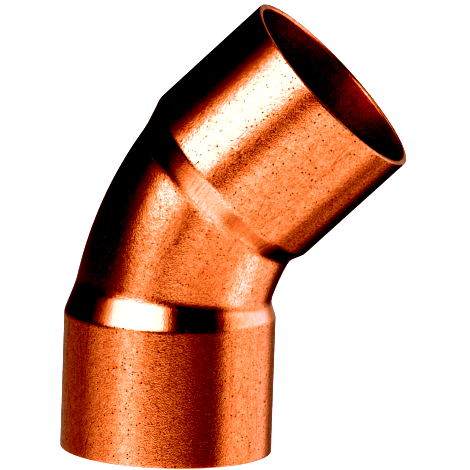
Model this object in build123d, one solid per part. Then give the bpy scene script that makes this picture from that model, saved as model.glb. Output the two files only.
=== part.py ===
"""A 45 degree copper elbow with two solder sockets, formed in one piece from drawn tube.

Units are millimetres. The origin is the middle of the lower socket's mouth, +Z runs up the lower
socket, and the upper socket leans from +Z towards +X. The bend lies in the XZ plane, and the two
halves of the fitting mirror each other.
"""

from build123d import *
import math
import os

PIPE_DIAMETER = 28.0      # outside diameter of the pipe that slides into each socket
SOLDER_GAP = 0.06         # room for solder between pipe and socket, on the radius
SOCKET_WALL = 0.94        # wall of a socket
SOCKET_LENGTH = 19.5      # mouth to crease, measured on the outside of a socket
NECK_STEP = 1.28          # how much smaller the bend is than the sockets, on the radius
NECK_ANGLE = 20.3         # slope of the neck between a socket and the bend, from the socket's axis
BEND_WALL = 0.92          # mean wall of the bend
WALL_DRIFT = 0.12         # bending moves the bore out by this, so the outer wall is the thinner one
TURN = 45.0               # angle between the two socket axes
BEND_RADIUS = 44.6        # radius of the bend's middle line
BEND_BOW = 0.7            # how far that line starts outside a socket's axis
BEND_START = 6.4          # how far below the crease that line starts, inside the socket
CREASE_BLEND = 1.5        # rounding where a socket turns into its neck
NECK_BLEND = 5.0          # rounding where a neck runs into the bend
RIM_ROUND = 0.2           # rounding of the outer edge of a mouth
RIM_CHAMFER = 0.25        # chamfer of the inner edge of a mouth
OVERRUN = 1.3             # how far a cut, or an end hidden inside, runs past what it meets

BORE_RADIUS = PIPE_DIAMETER / 2 + SOLDER_GAP
SOCKET_RADIUS = BORE_RADIUS + SOCKET_WALL
BEND_TUBE_RADIUS = SOCKET_RADIUS - NECK_STEP
BEND_BORE_RADIUS = BEND_TUBE_RADIUS - BEND_WALL

SLOPE = math.radians(NECK_ANGLE)
HALF_TURN = math.radians(TURN / 2)
BORE_DEPTH = SOCKET_LENGTH - SOCKET_WALL * math.tan(SLOPE / 2)

PIVOT_X = BEND_RADIUS - BEND_BOW
PIVOT_Z = SOCKET_LENGTH - BEND_START
CENTRE_HEIGHT = PIVOT_Z + PIVOT_X * math.tan(HALF_TURN)
MITRE = Plane(
    origin=(0, 0, CENTRE_HEIGHT),
    x_dir=(0, 1, 0),
    z_dir=(math.sin(HALF_TURN), 0, math.cos(HALF_TURN)),
)


def socket_and_neck(radius, crease, start, tube_radius):
    """A cylinder from start to the crease, then a neck that tapers until it is inside the bend."""
    hidden_radius = tube_radius - OVERRUN
    neck_top = crease + (radius - hidden_radius) / math.tan(SLOPE)
    setback = CREASE_BLEND * math.tan(SLOPE / 2)
    blend_start = Vector(radius, 0, crease - setback)
    blend_end = Vector(radius - setback * math.sin(SLOPE), 0, crease + setback * math.cos(SLOPE))
    side = Line((radius, 0, start), blend_start)
    blend = TangentArc(blend_start, blend_end, tangent=(0, 0, 1))
    neck = Line(blend_end, (hidden_radius, 0, neck_top))
    closing = Polyline(neck @ 1, (0, 0, neck_top), (0, 0, start), side @ 0)
    half_section = make_face([side, blend, neck, closing])
    return revolve(half_section, Axis.Z, 360)


def bend(tube_radius, line_radius):
    """A ring segment about the pivot, with both its ends hidden inside the sockets."""
    section = Plane.XY.offset(PIVOT_Z) * Pos(PIVOT_X - line_radius, 0) * Circle(tube_radius)
    pivot = Axis((PIVOT_X, 0, PIVOT_Z), (0, 1, 0))
    return revolve(section, pivot, TURN)


def neck_seams(shape):
    """The wavy edges where the necks run into the bend, sorted from the lower neck to the upper."""
    return shape.edges().filter_by(GeomType.BSPLINE).sort_by(Axis(MITRE.origin, MITRE.z_dir))


def gap_between(seams):
    """Shortest distance from the lower neck's seam to the upper neck's."""
    middle = len(seams) // 2
    return Compound(seams[:middle]).distance_to(Compound(seams[middle:]))


def elbow_shape(radius, crease, start, tube_radius, line_radius):
    """Socket, bend and socket as one solid, with a blend where each neck runs into the bend."""
    lower = socket_and_neck(radius, crease, start, tube_radius)
    shape = lower + bend(tube_radius, line_radius) + lower.mirror(MITRE)
    seams = neck_seams(shape)
    # The seams come closest on the inside of the bend, and the two blends need room between them.
    return fillet(seams, min(NECK_BLEND, gap_between(seams)))


def mouths(shape):
    """The flat ring at the end of each socket."""
    return [face for face in shape.faces() if face.geom_type == GeomType.PLANE]


def elbow_body():
    """The drawn, bent and expanded tube, with its cut ends deburred."""
    skin = elbow_shape(SOCKET_RADIUS, SOCKET_LENGTH, 0, BEND_TUBE_RADIUS, BEND_RADIUS)
    hollow = elbow_shape(
        BORE_RADIUS, BORE_DEPTH, -OVERRUN, BEND_BORE_RADIUS, BEND_RADIUS + WALL_DRIFT
    )
    body = skin - hollow
    body = fillet([face.outer_wire().edge() for face in mouths(body)], RIM_ROUND)
    return chamfer([face.inner_wires()[0].edge() for face in mouths(body)], RIM_CHAMFER)


os.makedirs("parts", exist_ok=True)
export_step(elbow_body(), "parts/elbow_body.step")
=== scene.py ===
import math

import bpy
from mathutils import Matrix, Vector


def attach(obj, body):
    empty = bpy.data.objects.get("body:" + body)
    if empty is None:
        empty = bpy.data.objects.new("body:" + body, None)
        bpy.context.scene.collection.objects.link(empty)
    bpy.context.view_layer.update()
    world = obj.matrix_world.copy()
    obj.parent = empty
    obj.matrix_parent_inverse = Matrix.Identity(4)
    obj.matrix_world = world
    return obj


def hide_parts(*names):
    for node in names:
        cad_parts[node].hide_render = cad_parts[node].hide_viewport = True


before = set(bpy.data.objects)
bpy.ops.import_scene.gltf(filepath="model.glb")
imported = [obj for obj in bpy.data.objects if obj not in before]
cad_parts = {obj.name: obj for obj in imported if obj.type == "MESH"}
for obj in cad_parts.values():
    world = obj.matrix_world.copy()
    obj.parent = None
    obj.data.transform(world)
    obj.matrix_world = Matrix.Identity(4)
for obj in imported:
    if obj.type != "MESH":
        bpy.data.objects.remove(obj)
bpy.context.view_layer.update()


# The elbow body
# One length of deoxidised copper tube. It is bent through 45 degrees over a mandrel, both its ends
# are then expanded to take a 28 mm pipe, and the mouths are sawn square and deburred.

MM = 0.001
ELBOW_SIZES = {
    "Socket Radius": 15.0 * MM,
    "Bore Radius": 14.06 * MM,
    "Socket Length": 19.5 * MM,
    "Bore Depth": 19.33 * MM,
    "Bend Tube Radius": 13.72 * MM,
    "Bend Bore Radius": 12.8 * MM,
    "Bend Radius": 44.6 * MM,
    "Bore Drift": 0.12 * MM,
    "Bend Bow": 0.7 * MM,
    "Bend Start": 6.4 * MM,
    "Turn": math.radians(45.0),
    "Neck Slope": math.tan(math.radians(20.3)),
    "Crease Blend": 0.2 * MM,
    "Outer Neck Blend": 0.3 * MM,
    "Inner Neck Blend": 0.8 * MM,
    "Outer Rim Depth": 0.22 * MM,
    "Inner Rim Depth": 0.42 * MM,
    "Outer Rim Squareness": 0.5,
    "Inner Rim Squareness": 0.75,
}
COLUMNS_AROUND = 240
OUTER_ROWS = 110
INNER_ROWS = 60
RIM_ROWS = 18
ROWS_ON_SOCKET = 0.15      # share of a skin's rows that lie on the plain part of its socket
PLAIN_MARGIN = 3.0 * MM    # from the end of that plain part to the crease
WELD = 0.002 * MM
NECK_FADE = 0.12 * MM      # how soon the burnish sets in past the crease
BEND_FADE = 0.1 * MM       # and how soon it ends at the bend
CREASE_MARK = 0.1 * MM     # how far a crease's rubbed edge and a fold's painted shade reach, as a height
FOLD_MARK = 0.09 * MM


def add(tree, kind, inputs=(), **settings):
    """Adds a node with its settings. Inputs are values, nodes or sockets, by place or by name."""
    node = tree.nodes.new(kind)
    for name, value in settings.items():
        setattr(node, name, value)
    for key, value in inputs.items() if isinstance(inputs, dict) else enumerate(inputs):
        if isinstance(value, bpy.types.Node):
            value = value.outputs[0]
        if isinstance(value, bpy.types.NodeSocket):
            tree.links.new(value, node.inputs[key])
        else:
            node.inputs[key].default_value = value
    return node


def flat_sheet(tree, rows):
    """A sheet one unit wide, the share of the way along its rows, and the angle around the tube."""
    sheet = add(tree, "GeometryNodeMeshGrid", (1.0, 1.0, rows, COLUMNS_AROUND + 1))
    place = add(tree, "ShaderNodeSeparateXYZ", (add(tree, "GeometryNodeInputPosition"),))
    share = add(tree, "ShaderNodeMath", (place.outputs["X"], 0.5), operation="ADD")
    angle = add(tree, "ShaderNodeMath", (place.outputs["Y"], math.tau), operation="MULTIPLY")
    cos_around = add(tree, "ShaderNodeMath", (angle,), operation="COSINE")
    sin_around = add(tree, "ShaderNodeMath", (angle,), operation="SINE")
    return sheet, share, cos_around, sin_around


def spoke_to_socket(tree, start, spoke, radius, crease, slope):
    """Length of a spoke from the middle line to a socket's wall, which narrows past its crease."""
    (start_x, start_z), (x, y, z) = start, spoke
    below_crease = add(tree, "ShaderNodeMath", (crease, start_z), operation="SUBTRACT")
    wall_here = add(tree, "ShaderNodeMath", (below_crease, slope, radius), operation="MULTIPLY_ADD")
    lean = add(tree, "ShaderNodeMath", (slope, z), operation="MULTIPLY")
    y_squared = add(tree, "ShaderNodeMath", (y, y), operation="MULTIPLY")
    level = add(tree, "ShaderNodeMath", (x, x, y_squared), operation="MULTIPLY_ADD")
    lean_squared = add(tree, "ShaderNodeMath", (lean, lean), operation="MULTIPLY")
    a = add(tree, "ShaderNodeMath", (level, lean_squared), operation="SUBTRACT")
    wall_lean = add(tree, "ShaderNodeMath", (wall_here, lean), operation="MULTIPLY")
    b = add(tree, "ShaderNodeMath", (start_x, x, wall_lean), operation="MULTIPLY_ADD")
    start_squared = add(tree, "ShaderNodeMath", (start_x, start_x), operation="MULTIPLY")
    wall_squared = add(tree, "ShaderNodeMath", (wall_here, wall_here), operation="MULTIPLY")
    c = add(tree, "ShaderNodeMath", (wall_squared, start_squared), operation="SUBTRACT")
    a_c = add(tree, "ShaderNodeMath", (a, c), operation="MULTIPLY")
    under_root = add(tree, "ShaderNodeMath", (b, b, a_c), operation="MULTIPLY_ADD")
    root = add(tree, "ShaderNodeMath", (under_root,), operation="SQRT")
    top = add(tree, "ShaderNodeMath", (root, b), operation="SUBTRACT")
    return add(tree, "ShaderNodeMath", (top, a), operation="DIVIDE")


def path_of_tube(tree, size):
    """Where the bend's arc starts and turns, and the middle line's length up to mid-bend."""
    arc_start = add(
        tree, "ShaderNodeMath", (size["Socket Length"], size["Bend Start"]), operation="SUBTRACT"
    )
    half_turn = add(tree, "ShaderNodeMath", (size["Turn"], 0.5), operation="MULTIPLY")
    half_path = add(
        tree,
        "ShaderNodeMath",
        (size["Bend Radius"], half_turn, arc_start),
        operation="MULTIPLY_ADD",
    )
    pivot_x = add(
        tree, "ShaderNodeMath", (size["Bend Radius"], size["Bend Bow"]), operation="SUBTRACT"
    )
    return arc_start, half_turn, half_path, pivot_x


def distance_along(tree, size, half_path, share, first_row):
    """How far up the tube each row lies. Few rows cover the plain socket, and most the rest."""
    plain_end = add(
        tree, "ShaderNodeMath", (size["Socket Length"], PLAIN_MARGIN), operation="SUBTRACT"
    )
    on_socket = add(
        tree,
        "ShaderNodeMapRange",
        {"Value": share, "From Max": ROWS_ON_SOCKET, "To Min": first_row, "To Max": plain_end},
    )
    past_socket = add(
        tree,
        "ShaderNodeMapRange",
        {"Value": share, "From Min": ROWS_ON_SOCKET, "To Min": plain_end, "To Max": half_path},
    )
    is_past = add(tree, "ShaderNodeMath", (share, ROWS_ON_SOCKET), operation="GREATER_THAN")
    return add(tree, "ShaderNodeMix", {"Factor": is_past, "A": on_socket, "B": past_socket})


def middle_line(tree, size, path, along, past_start, drift):
    """A point of the tube's middle line, straight up to the arc, and how far it has turned there."""
    arc_start, _, _, pivot_x = path
    arc_length = add(tree, "ShaderNodeMath", (past_start, 0.0), operation="MAXIMUM")
    turned = add(tree, "ShaderNodeMath", (arc_length, size["Bend Radius"]), operation="DIVIDE")
    cos_turned = add(tree, "ShaderNodeMath", (turned,), operation="COSINE")
    sin_turned = add(tree, "ShaderNodeMath", (turned,), operation="SINE")
    line_radius = add(tree, "ShaderNodeMath", (size["Bend Radius"], drift), operation="ADD")
    from_pivot = add(tree, "ShaderNodeMath", (line_radius, cos_turned), operation="MULTIPLY")
    x = add(tree, "ShaderNodeMath", (pivot_x, from_pivot), operation="SUBTRACT")
    straight = add(tree, "ShaderNodeMath", (along, arc_start), operation="MINIMUM")
    z = add(tree, "ShaderNodeMath", (line_radius, sin_turned, straight), operation="MULTIPLY_ADD")
    return (x, z), cos_turned, sin_turned


def skin_marks(tree, wall, neck, socket, tube_radius, in_arc, inside):
    """Where a skin is on its neck, on its crease, in the fold above the neck, or in the bore."""
    taper = add(tree, "ShaderNodeMath", (wall, neck), operation="SUBTRACT")
    above_bend = add(tree, "ShaderNodeMath", (socket, tube_radius), operation="SUBTRACT")
    tapered = add(
        tree,
        "ShaderNodeMapRange",
        {"Value": taper, "From Max": NECK_FADE},
        interpolation_type="SMOOTHSTEP",
    )
    proud = add(
        tree,
        "ShaderNodeMapRange",
        {"Value": above_bend, "From Min": -BEND_FADE, "From Max": BEND_FADE},
        interpolation_type="SMOOTHSTEP",
    )
    on_neck = add(tree, "ShaderNodeMath", (tapered, proud), operation="MULTIPLY")
    off_crease = add(tree, "ShaderNodeMath", (taper,), operation="ABSOLUTE")
    on_crease = add(
        tree,
        "ShaderNodeMapRange",
        {"Value": off_crease, "From Max": CREASE_MARK, "To Min": 1.0, "To Max": 0.0},
        interpolation_type="SMOOTHSTEP",
    )
    # A narrow band along the fold above the neck, which the copper darkens as painted shade.
    off_fold = add(tree, "ShaderNodeMath", (above_bend,), operation="ABSOLUTE")
    on_fold = add(
        tree,
        "ShaderNodeMapRange",
        {"Value": off_fold, "From Max": FOLD_MARK, "To Min": 1.0, "To Max": 0.0},
        interpolation_type="SMOOTHSTEP",
    )
    in_fold = add(tree, "ShaderNodeMath", (on_fold, in_arc), operation="MULTIPLY")
    return {"neck": on_neck, "edge": on_crease, "fold": in_fold, "inside": inside}


def laid_on_elbow(tree, size, sheet, around, along, place, marks):
    """Stores each point's marks and its place on the straight tube, and moves it to the elbow."""
    cos_around, sin_around = around
    mesh = sheet
    for name, value in marks.items():
        mesh = add(
            tree,
            "GeometryNodeStoreNamedAttribute",
            {"Geometry": mesh, "Name": name, "Value": value},
        )
    tube_x = add(tree, "ShaderNodeMath", (cos_around, size["Socket Radius"]), operation="MULTIPLY")
    tube_y = add(tree, "ShaderNodeMath", (sin_around, size["Socket Radius"]), operation="MULTIPLY")
    on_tube = add(tree, "ShaderNodeCombineXYZ", (tube_x, tube_y, along))
    mesh = add(
        tree,
        "GeometryNodeStoreNamedAttribute",
        {"Geometry": mesh, "Name": "tube", "Value": on_tube},
        data_type="FLOAT_VECTOR",
    )
    return add(tree, "GeometryNodeSetPosition", {"Geometry": mesh, "Position": place})


def half_skin(tree, size, path, rows, first_row, radius, crease, tube_radius, drift, inside):
    """The outer or inner skin, from the lower mouth to the plane midway between the sockets."""
    arc_start, _, half_path, _ = path
    sheet, share, cos_around, sin_around = flat_sheet(tree, rows)
    along = distance_along(tree, size, half_path, share, first_row)
    past_start = add(tree, "ShaderNodeMath", (along, arc_start), operation="SUBTRACT")
    start, cos_turned, sin_turned = middle_line(tree, size, path, along, past_start, drift)
    start_x, start_z = start

    # Each point lies on a spoke that is square to the middle line.
    spoke_x = add(tree, "ShaderNodeMath", (cos_around, cos_turned), operation="MULTIPLY")
    falling = add(tree, "ShaderNodeMath", (cos_around, sin_turned), operation="MULTIPLY")
    spoke_z = add(tree, "ShaderNodeMath", (falling, -1.0), operation="MULTIPLY")
    spoke = (spoke_x, sin_around, spoke_z)

    # The skin lies on the socket's wall, then on the neck, and then on the bend.
    wall = spoke_to_socket(tree, start, spoke, radius, crease, 0.0)
    neck = spoke_to_socket(tree, start, spoke, radius, crease, size["Neck Slope"])
    socket = add(
        tree, "ShaderNodeMath", (wall, neck, size["Crease Blend"]), operation="SMOOTH_MIN"
    )
    # Metal gathers on the inside of the bend, so the blend is wide there and narrow outside.
    neck_blend = add(
        tree,
        "ShaderNodeMapRange",
        {
            "Value": cos_around,
            "From Min": -1.0,
            "To Min": size["Outer Neck Blend"],
            "To Max": size["Inner Neck Blend"],
        },
    )
    blended = add(
        tree, "ShaderNodeMath", (socket, tube_radius, neck_blend), operation="SMOOTH_MAX"
    )
    in_arc = add(tree, "ShaderNodeMath", (past_start, 0.0), operation="GREATER_THAN")
    reach = add(tree, "ShaderNodeMix", {"Factor": in_arc, "A": wall, "B": blended})

    x = add(tree, "ShaderNodeMath", (reach, spoke_x, start_x), operation="MULTIPLY_ADD")
    y = add(tree, "ShaderNodeMath", (reach, sin_around), operation="MULTIPLY")
    z = add(tree, "ShaderNodeMath", (reach, spoke_z, start_z), operation="MULTIPLY_ADD")
    place = add(tree, "ShaderNodeCombineXYZ", (x, y, z))
    marks = skin_marks(tree, wall, neck, socket, tube_radius, in_arc, inside)
    return laid_on_elbow(tree, size, sheet, (cos_around, sin_around), along, place, marks)


def rim(tree, size):
    """The cut end of the tube, flat with two small rounded corners, from outer to inner wall."""
    sheet, share, cos_around, sin_around = flat_sheet(tree, RIM_ROWS)

    # Its section is half of a squared-off circle, with a corner of its own towards each wall.
    turn = add(tree, "ShaderNodeMath", (share, math.pi), operation="MULTIPLY")
    across = add(tree, "ShaderNodeMath", (turn,), operation="COSINE")
    down = add(tree, "ShaderNodeMath", (turn,), operation="SINE")
    outside = add(tree, "ShaderNodeMath", (across, 0.0), operation="GREATER_THAN")
    squareness = add(
        tree,
        "ShaderNodeMix",
        {
            "Factor": outside,
            "A": size["Inner Rim Squareness"],
            "B": size["Outer Rim Squareness"],
        },
    )
    depth = add(
        tree,
        "ShaderNodeMix",
        {"Factor": outside, "A": size["Inner Rim Depth"], "B": size["Outer Rim Depth"]},
    )
    side = add(tree, "ShaderNodeMath", (across,), operation="SIGN")
    across_size = add(tree, "ShaderNodeMath", (across,), operation="ABSOLUTE")
    across_square = add(tree, "ShaderNodeMath", (across_size, squareness), operation="POWER")
    across_wall = add(tree, "ShaderNodeMath", (across_square, side), operation="MULTIPLY")
    down_size = add(tree, "ShaderNodeMath", (down,), operation="ABSOLUTE")
    down_square = add(tree, "ShaderNodeMath", (down_size, squareness), operation="POWER")
    radius = add(
        tree,
        "ShaderNodeMapRange",
        {
            "Value": across_wall,
            "From Min": -1.0,
            "To Min": size["Bore Radius"],
            "To Max": size["Socket Radius"],
        },
    )
    z = add(tree, "ShaderNodeMapRange", {"Value": down_square, "To Min": depth, "To Max": 0.0})

    # Its spokes start where those of the two skins do, so that the edges meet point by point.
    outer_start = add(tree, "ShaderNodeMath", (size["Bend Bow"], -1.0), operation="MULTIPLY")
    inner_start = add(
        tree, "ShaderNodeMath", (outer_start, size["Bore Drift"]), operation="SUBTRACT"
    )
    start_x = add(
        tree,
        "ShaderNodeMapRange",
        {"Value": across_wall, "From Min": -1.0, "To Min": inner_start, "To Max": outer_start},
    )
    spoke = (cos_around, sin_around, 0.0)
    reach = spoke_to_socket(tree, (start_x, z), spoke, radius, size["Socket Length"], 0.0)
    x = add(tree, "ShaderNodeMath", (reach, cos_around, start_x), operation="MULTIPLY_ADD")
    y = add(tree, "ShaderNodeMath", (reach, sin_around), operation="MULTIPLY")
    place = add(tree, "ShaderNodeCombineXYZ", (x, y, z))
    marks = {"neck": 0.0, "edge": 1.0, "fold": 0.0, "inside": 0.0}
    return laid_on_elbow(tree, size, sheet, (cos_around, sin_around), z, place, marks)


def mirrored(tree, path, half):
    """The other half of the body, across the plane midway between the two sockets."""
    arc_start, half_turn, half_path, pivot_x = path
    tan_half = add(tree, "ShaderNodeMath", (half_turn,), operation="TANGENT")
    centre = add(tree, "ShaderNodeMath", (pivot_x, tan_half, arc_start), operation="MULTIPLY_ADD")
    centre_point = add(tree, "ShaderNodeCombineXYZ", {"Z": centre})
    sin_half = add(tree, "ShaderNodeMath", (half_turn,), operation="SINE")
    cos_half = add(tree, "ShaderNodeMath", (half_turn,), operation="COSINE")
    facing = add(tree, "ShaderNodeCombineXYZ", {"X": sin_half, "Z": cos_half})
    place = add(tree, "GeometryNodeInputPosition")
    from_centre = add(tree, "ShaderNodeVectorMath", (place, centre_point), operation="SUBTRACT")
    reflected = add(tree, "ShaderNodeVectorMath", (from_centre, facing), operation="REFLECT")
    moved = add(tree, "ShaderNodeVectorMath", (reflected, centre_point), operation="ADD")
    copy = add(tree, "GeometryNodeSetPosition", {"Geometry": half, "Position": moved})

    # The grain runs on up the tube, so its place on the tube isn't mirrored but counted on.
    tube = add(
        tree, "GeometryNodeInputNamedAttribute", {"Name": "tube"}, data_type="FLOAT_VECTOR"
    )
    parts = add(tree, "ShaderNodeSeparateXYZ", (tube,))
    whole_path = add(tree, "ShaderNodeMath", (half_path, 2.0), operation="MULTIPLY")
    along = add(tree, "ShaderNodeMath", (whole_path, parts.outputs["Z"]), operation="SUBTRACT")
    on_tube = add(tree, "ShaderNodeCombineXYZ", (parts.outputs["X"], parts.outputs["Y"], along))
    copy = add(
        tree,
        "GeometryNodeStoreNamedAttribute",
        {"Geometry": copy, "Name": "tube", "Value": on_tube},
        data_type="FLOAT_VECTOR",
    )
    return add(tree, "GeometryNodeFlipFaces", {"Mesh": copy})


def drawn_elbow():
    """A tree that makes the whole body from its sizes, welded into one closed skin."""
    tree = bpy.data.node_groups.new("Drawn Elbow", "GeometryNodeTree")
    tree.interface.new_socket("Geometry", in_out="OUTPUT", socket_type="NodeSocketGeometry")
    for name in ELBOW_SIZES:
        tree.interface.new_socket(name, in_out="INPUT", socket_type="NodeSocketFloat")
    tree.interface.new_socket("Finish", in_out="INPUT", socket_type="NodeSocketMaterial")
    size = tree.nodes.new("NodeGroupInput").outputs
    path = path_of_tube(tree, size)
    outer = half_skin(
        tree,
        size,
        path,
        rows=OUTER_ROWS,
        first_row=size["Outer Rim Depth"],
        radius=size["Socket Radius"],
        crease=size["Socket Length"],
        tube_radius=size["Bend Tube Radius"],
        drift=0.0,
        inside=0.0,
    )
    outer = add(tree, "GeometryNodeFlipFaces", {"Mesh": outer})
    inner = half_skin(
        tree,
        size,
        path,
        rows=INNER_ROWS,
        first_row=size["Inner Rim Depth"],
        radius=size["Bore Radius"],
        crease=size["Bore Depth"],
        tube_radius=size["Bend Bore Radius"],
        drift=size["Bore Drift"],
        inside=1.0,
    )
    half = add(tree, "GeometryNodeJoinGeometry")
    for part in (outer, inner, rim(tree, size)):
        tree.links.new(part.outputs[0], half.inputs[0])
    whole = add(tree, "GeometryNodeJoinGeometry", (half,))
    tree.links.new(mirrored(tree, path, half).outputs[0], whole.inputs[0])
    welded = add(tree, "GeometryNodeMergeByDistance", {"Geometry": whole, "Distance": WELD})
    smooth = add(tree, "GeometryNodeSetShadeSmooth", {"Geometry": welded, "Shade Smooth": True})
    real = add(tree, "GeometryNodeRealizeInstances", {"Geometry": smooth})
    finished = add(
        tree, "GeometryNodeSetMaterial", {"Geometry": real, "Material": size["Finish"]}
    )
    add(tree, "NodeGroupOutput", (finished,))
    return tree


# The copper's patterns, by the real size of each. The etched grains of such copper are about a
# third as wide as these, too fine to show, so they are drawn coarser.
GRAIN = 0.17 * MM
DAPPLE = 0.9 * MM
PIT_SPACING = 0.42 * MM
PIT_WANDER = 0.12 * MM
STREAK = 0.4 * MM
STREAK_STRETCH = (1.0, 1.0, 0.05)
TOOL_LINE_SPACING = 6.0 * MM
TOOL_LINE_STRETCH = (1.0, 1.0, 0.12)
TOOL_LINE_WIDTH = 0.008
ETCH_DEPTH = 0.033 * MM
COLOUR_A, COLOUR_B, COLOUR_OUT = 6, 7, 2     # a Mix node's sockets when it mixes colours


def srgb(hex_code):
    """A colour written as an sRGB hex value, as the linear colour that a shader takes."""
    shares = [int(hex_code[i : i + 2], 16) / 255 for i in (0, 2, 4)]
    linear = [s / 12.92 if s <= 0.04045 else ((s + 0.055) / 1.055) ** 2.4 for s in shares]
    return linear + [1.0]


def etched_pits(tree, tube, grain, neck):
    """Dark specks where single grains are etched out, except on the burnished necks."""
    shift = add(
        tree,
        "ShaderNodeVectorMath",
        {0: grain.outputs["Color"], "Scale": PIT_WANDER},
        operation="SCALE",
    )
    moved = add(tree, "ShaderNodeVectorMath", (tube, shift), operation="ADD")
    place = add(tree, "ShaderNodeTexVoronoi", {"Vector": moved, "Scale": 1 / PIT_SPACING})
    chosen = add(tree, "ShaderNodeSeparateXYZ", (place.outputs["Color"],))
    width = add(
        tree,
        "ShaderNodeMapRange",
        {"Value": chosen.outputs["X"], "From Min": 0.2, "To Min": 0.0, "To Max": 0.33},
    )
    reach = add(tree, "ShaderNodeMath", (width, place.outputs["Distance"]), operation="SUBTRACT")
    pit = add(
        tree,
        "ShaderNodeMapRange",
        {"Value": reach, "From Max": 0.12},
        interpolation_type="SMOOTHSTEP",
    )
    off_neck = add(tree, "ShaderNodeMath", (1.0, neck), operation="SUBTRACT")
    return add(tree, "ShaderNodeMath", (pit, off_neck), operation="MULTIPLY")


def drawing_marks(tree, tube, dapple, edge, fold):
    """How much of its light the copper keeps under its streaks and tool lines, and under the painted
    shade in the fold.
    """
    # Drawing leaves faint streaks along the tube.
    stretched = add(tree, "ShaderNodeVectorMath", (tube, STREAK_STRETCH), operation="MULTIPLY")
    streak = add(
        tree, "ShaderNodeTexNoise", {"Vector": stretched, "Scale": 1 / STREAK, "Detail": 2.0}
    )
    dark_streak = add(
        tree,
        "ShaderNodeMapRange",
        {
            "Value": streak.outputs["Fac"],
            "From Min": 0.3,
            "From Max": 0.42,
            "To Min": 0.91,
            "To Max": 1.0,
        },
    )

    # The bending tool leaves a few longer lines, but the creases and the cut rims are rubbed clean.
    drawn = add(tree, "ShaderNodeVectorMath", (tube, TOOL_LINE_STRETCH), operation="MULTIPLY")
    wander = add(
        tree,
        "ShaderNodeTexNoise",
        {"Vector": drawn, "Scale": 1 / TOOL_LINE_SPACING, "Detail": 3.0},
    )
    from_line = add(tree, "ShaderNodeMath", (wander.outputs["Fac"], 0.5), operation="SUBTRACT")
    off_line = add(tree, "ShaderNodeMath", (from_line,), operation="ABSOLUTE")
    whole_line = add(
        tree,
        "ShaderNodeMapRange",
        {"Value": off_line, "From Max": TOOL_LINE_WIDTH, "To Min": 1.0, "To Max": 0.0},
        interpolation_type="SMOOTHSTEP",
    )
    kept = add(
        tree,
        "ShaderNodeMapRange",
        {"Value": dapple.outputs["Fac"], "From Min": 0.42, "From Max": 0.55},
    )
    broken_line = add(tree, "ShaderNodeMath", (whole_line, kept), operation="MULTIPLY")
    off_edge = add(tree, "ShaderNodeMath", (1.0, edge), operation="SUBTRACT")
    line = add(tree, "ShaderNodeMath", (broken_line, off_edge), operation="MULTIPLY")

    # Painted shade darkens the fold where the neck ends, broken up like the tool lines.
    dirt = add(tree, "ShaderNodeMath", (fold, kept), operation="MULTIPLY")
    line_or_dirt = add(tree, "ShaderNodeMath", (line, dirt), operation="MAXIMUM")
    # The tool lines and the painted shade in the fold take up to a third of the light.
    clean = add(
        tree, "ShaderNodeMapRange", {"Value": line_or_dirt, "To Min": 1.0, "To Max": 0.68}
    )
    return add(tree, "ShaderNodeMath", (dark_streak, clean), operation="MULTIPLY")


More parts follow.
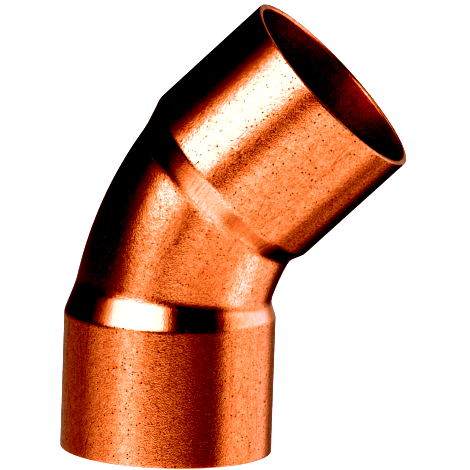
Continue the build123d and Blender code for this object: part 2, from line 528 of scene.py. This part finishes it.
def satin_copper():
    """Drawn copper, annealed and pickled after forming, with its necks burnished by the tool.

    It gives the eye bright and dark bands with soft, grainy edges on the pickled skin, the same
    bands with sharp edges on the necks, and a dull brown glow in the oxidised bore.
    """
    material = bpy.data.materials.new("satin drawn copper")
    material.use_nodes = True
    tree = material.node_tree
    tree.nodes.clear()
    tube = add(tree, "ShaderNodeAttribute", attribute_name="tube").outputs["Vector"]
    neck = add(tree, "ShaderNodeAttribute", attribute_name="neck").outputs["Fac"]
    edge = add(tree, "ShaderNodeAttribute", attribute_name="edge").outputs["Fac"]
    inside = add(tree, "ShaderNodeAttribute", attribute_name="inside").outputs["Fac"]
    fold = add(tree, "ShaderNodeAttribute", attribute_name="fold").outputs["Fac"]

    # The pickle etches the grains of the copper, each a little lighter or darker than the next.
    grain = add(tree, "ShaderNodeTexNoise", {"Vector": tube, "Scale": 1 / GRAIN, "Detail": 2.0})
    dapple = add(tree, "ShaderNodeTexNoise", {"Vector": tube, "Scale": 1 / DAPPLE, "Detail": 3.0})
    etch = add(
        tree,
        "ShaderNodeMix",
        {"Factor": 0.25, "A": grain.outputs["Fac"], "B": dapple.outputs["Fac"]},
    )
    tone = add(tree, "ShaderNodeMapRange", {"Value": etch, "From Min": 0.36, "From Max": 0.6})
    copper = add(
        tree,
        "ShaderNodeMix",
        {"Factor": tone, COLOUR_A: srgb("DE866A"), COLOUR_B: srgb("FFB396")},
        data_type="RGBA",
    )
    pit = etched_pits(tree, tube, grain, neck)
    pitted = add(
        tree,
        "ShaderNodeMix",
        {"Factor": pit, COLOUR_A: copper.outputs[COLOUR_OUT], COLOUR_B: srgb("5A2417")},
        data_type="RGBA",
    )
    polished = add(tree, "ShaderNodeMath", (neck, 0.5), operation="MULTIPLY")
    burnished = add(
        tree,
        "ShaderNodeMix",
        {"Factor": polished, COLOUR_A: pitted.outputs[COLOUR_OUT], COLOUR_B: srgb("FAA588")},
        data_type="RGBA",
    )

    # The bore keeps some of the annealing oxide.
    dapples = add(tree, "ShaderNodeMapRange", {"Value": etch, "From Min": 0.42, "From Max": 0.58})
    oxide = add(
        tree,
        "ShaderNodeMix",
        {"Factor": dapples, COLOUR_A: srgb("A85A36"), COLOUR_B: srgb("F09A6C")},
        data_type="RGBA",
    )
    both = add(
        tree,
        "ShaderNodeMix",
        {
            "Factor": inside,
            COLOUR_A: burnished.outputs[COLOUR_OUT],
            COLOUR_B: oxide.outputs[COLOUR_OUT],
        },
        data_type="RGBA",
    )
    # Streaks and tool lines darken the colour, and so does the painted shade in the fold.
    kept_light = drawing_marks(tree, tube, dapple, edge, fold)
    colour = add(
        tree, "ShaderNodeVectorMath", (both.outputs[COLOUR_OUT], kept_light), operation="MULTIPLY"
    )

    pickled = add(
        tree,
        "ShaderNodeMapRange",
        {"Value": dapple.outputs["Fac"], "To Min": 0.25, "To Max": 0.16},
    )
    outer_rough = add(tree, "ShaderNodeMix", {"Factor": neck, "A": pickled, "B": 0.18})
    rough = add(tree, "ShaderNodeMix", {"Factor": inside, "A": outer_rough, "B": 0.4})
    height = add(tree, "ShaderNodeMath", (pit, -1.0, etch), operation="MULTIPLY_ADD")
    relief = add(tree, "ShaderNodeMapRange", {"Value": neck, "To Min": 1.0, "To Max": 0.8})
    bump = add(
        tree, "ShaderNodeBump", {"Strength": relief, "Distance": ETCH_DEPTH, "Height": height}
    )
    shader = add(
        tree,
        "ShaderNodeBsdfPrincipled",
        {"Base Color": colour, "Metallic": 1.0, "Roughness": rough, "Normal": bump},
    )
    add(tree, "ShaderNodeOutputMaterial", (shader,))
    return material


elbow = bpy.data.objects.new("elbow", bpy.data.meshes.new("elbow"))
bpy.context.scene.collection.objects.link(elbow)
maker = elbow.modifiers.new("Drawn Elbow", "NODES")
maker.node_group = drawn_elbow()
finish = satin_copper()
for socket in maker.node_group.interface.items_tree:
    if socket.in_out == "INPUT":
        maker[socket.identifier] = ELBOW_SIZES.get(socket.name, finish)
evaluated = elbow.evaluated_get(bpy.context.evaluated_depsgraph_get())
elbow.data = bpy.data.meshes.new_from_object(evaluated)
elbow.modifiers.remove(maker)
elbow.data.materials.pop(index=0)     # the empty slot that a new sheet has

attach(elbow, "root")
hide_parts("elbow_body")


# The floor
# A wide sheet of matt white paper. It glows a little, so that it is evenly white without a
# shadow, and the copper reflects the studio's table instead of it.
REACH = 3.0
PAPER_GLOW = 0.72
floor_mesh = bpy.data.meshes.new("floor")
corners = [(-REACH, -REACH, 0), (REACH, -REACH, 0), (REACH, REACH, 0), (-REACH, REACH, 0)]
floor_mesh.from_pydata(corners, [], [(0, 1, 2, 3)])
floor = bpy.data.objects.new("floor", floor_mesh)
bpy.context.scene.collection.objects.link(floor)
white = bpy.data.materials.new("white paper")
white.use_nodes = True
paper = white.node_tree.nodes["Principled BSDF"].inputs
paper["Base Color"].default_value = srgb("F2F2F2")
paper["Roughness"].default_value = 0.9
paper["Emission Color"].default_value = srgb("FFFFE8")
paper["Emission Strength"].default_value = PAPER_GLOW
floor_mesh.materials.append(white)
floor.visible_glossy = False
floor.visible_shadow = False


# The studio
# What the copper reflects: a softbox, reflectors and a pale table, each a soft-edged card of light
# on the world's sphere. Azimuth 0 is towards -y and grows towards +x. All angles are in degrees.
CARDS = {
    # name: centre, width and height, softness of the edges, strength
    "softbox, front left": ((-29, 27.5), (62, 36), (10, 6), 5.3),
    "its glow, left": ((-70, 27), (26, 20), (10, 6), 0.95),
    "its stand's reflector": ((-34, -3), (26, 30), (9, 6), 1.7),
    "table, front": ((-24, -32.5), (48, 40), (16, 3), 1.75),
    "table, front, far edge": ((8, -17), (48, 10), (15, 3), 1.1),
    "table, front left": ((-30, -47), (84, 58), (13, 8), 0.9),
    "table, front right": ((52, -52), (96, 60), (18, 10), 1.6),
    "table, left": ((-66, -24), (36, 32), (13, 8), 1.5),
    "table, far left": ((-128, -20), (86, 26), (21, 12), 0.8),
    "table, right, in shade": ((36, -18), (60, 26), (20, 6), 0.25),
    "table, below": ((0, -88), (360, 36), (3, 8), 0.9),
    "reflector, right": ((110, -12), (72, 76), (9, 12), 1.7),
    "its brighter top": ((113, 15), (64, 22), (8, 6), 0.85),
    "wall behind": ((166, 4), (50, 32), (14, 12), 0.75),
    "overhead, right": ((120, 64), (140, 26), (12, 8), 2.0),
    "overhead": ((0, 88), (360, 24), (3, 8), 1.3),
}
ROOM_LIGHT = 0.09
BACKDROP = 1.5            # what the camera sees past the floor
LAMP_POWER = 30
LAMP_SIZE = 2.0
LAMP_HEIGHT = 1.5


def card(tree, azimuth, elevation, centre, size, softness, strength):
    """Light from one card, by its centre, width and height in degrees as the elbow sees it."""
    light = strength
    for angle, middle, width, soft in zip((azimuth, elevation), centre, size, softness):
        turn = add(tree, "ShaderNodeMath", (angle, middle), operation="SUBTRACT")
        turn = add(tree, "ShaderNodeMath", (turn, -180.0, 180.0), operation="WRAP")
        off = add(tree, "ShaderNodeMath", (turn,), operation="ABSOLUTE")
        share = add(
            tree,
            "ShaderNodeMapRange",
            {
                "Value": off,
                "From Min": width / 2 - soft,
                "From Max": width / 2 + soft,
                "To Min": 1.0,
                "To Max": 0.0,
            },
            interpolation_type="SMOOTHSTEP",
        )
        light = add(tree, "ShaderNodeMath", (share, light), operation="MULTIPLY")
    return light


world = bpy.data.worlds.new("studio")
bpy.context.scene.world = world
world.use_nodes = True
sky = world.node_tree
sky.nodes.clear()
ray = add(sky, "ShaderNodeTexCoord").outputs["Generated"]
direction = add(sky, "ShaderNodeSeparateXYZ", (ray,))
to_front = add(sky, "ShaderNodeMath", (direction.outputs["Y"], -1.0), operation="MULTIPLY")
around = add(sky, "ShaderNodeMath", (direction.outputs["X"], to_front), operation="ARCTAN2")
azimuth = add(sky, "ShaderNodeMath", (around,), operation="DEGREES")
above = add(sky, "ShaderNodeMath", (direction.outputs["Z"],), operation="ARCSINE")
elevation = add(sky, "ShaderNodeMath", (above,), operation="DEGREES")
total = ROOM_LIGHT
for placed in CARDS.values():
    lit = card(sky, azimuth, elevation, *placed)
    total = add(sky, "ShaderNodeMath", (lit, total), operation="ADD")
light = add(sky, "ShaderNodeBackground", {"Strength": total})
seen = add(sky, "ShaderNodeBackground", {"Strength": BACKDROP})
is_camera = add(sky, "ShaderNodeLightPath").outputs["Is Camera Ray"]
mixed = add(sky, "ShaderNodeMixShader", (is_camera, light, seen))
add(sky, "ShaderNodeOutputWorld", (mixed,))

# A wide lamp above lights the paper, and the copper doesn't reflect it.
overhead = bpy.data.objects.new("overhead", bpy.data.lights.new("overhead", "AREA"))
overhead.data.energy = LAMP_POWER
overhead.data.size = LAMP_SIZE
overhead.location = (0, 0, LAMP_HEIGHT)
overhead.visible_glossy = False
bpy.context.scene.collection.objects.link(overhead)


# The picture's tones
# A hard print: dark tones drop to black and middle ones are deepened. Green and blue fall off
# sooner than red, so copper turns red in the dark, and in its highlights it is nearly white.
TONES = {
    1: ((0.1, 0.065), (0.2, 0.162), (0.3, 0.285), (0.42, 0.42)),                       # green
    2: ((0.222, 0.168), (0.279, 0.222), (0.36, 0.344), (0.458, 0.53), (0.55, 0.76)),   # blue
    3: ((0.133, 0.0), (0.25, 0.05), (0.448, 0.214), (0.7, 0.52)),                      # all three
}
settings = bpy.context.scene.view_settings
settings.view_transform = "Standard"
settings.use_curve_mapping = True
curves = settings.curve_mapping
curves.extend = "EXTRAPOLATED"
for channel, points in TONES.items():
    for before, after in points:
        curves.curves[channel].points.new(before, after)
curves.update()


# The camera
# A long lens, a little above the elbow and a little to the right of square on to its bend.
AZIMUTH, ELEVATION, ROLL = (math.radians(degrees) for degrees in (9.04, 9.70, 1.99))
TARGET = Vector((8.906, 0, 31.14)) * MM
DISTANCE = 0.9
LENS = 489.6444
SENSOR = 36
back = Vector((
    math.sin(AZIMUTH) * math.cos(ELEVATION),
    -math.cos(AZIMUTH) * math.cos(ELEVATION),
    math.sin(ELEVATION),
))
level_right = Vector((0, 0, 1)).cross(back).normalized()
level_up = back.cross(level_right)
right = math.cos(ROLL) * level_right + math.sin(ROLL) * level_up
up = math.cos(ROLL) * level_up - math.sin(ROLL) * level_right
place = TARGET + back * DISTANCE
camera = bpy.data.objects.new("camera", bpy.data.cameras.new("camera"))
camera.data.lens = LENS
camera.data.sensor_width = SENSOR
camera.data.clip_start = 0.01
camera.matrix_world = Matrix((
    (right.x, up.x, back.x, place.x),
    (right.y, up.y, back.y, place.y),
    (right.z, up.z, back.z, place.z),
    (0, 0, 0, 1),
))
bpy.context.scene.collection.objects.link(camera)
bpy.context.scene.camera = camera
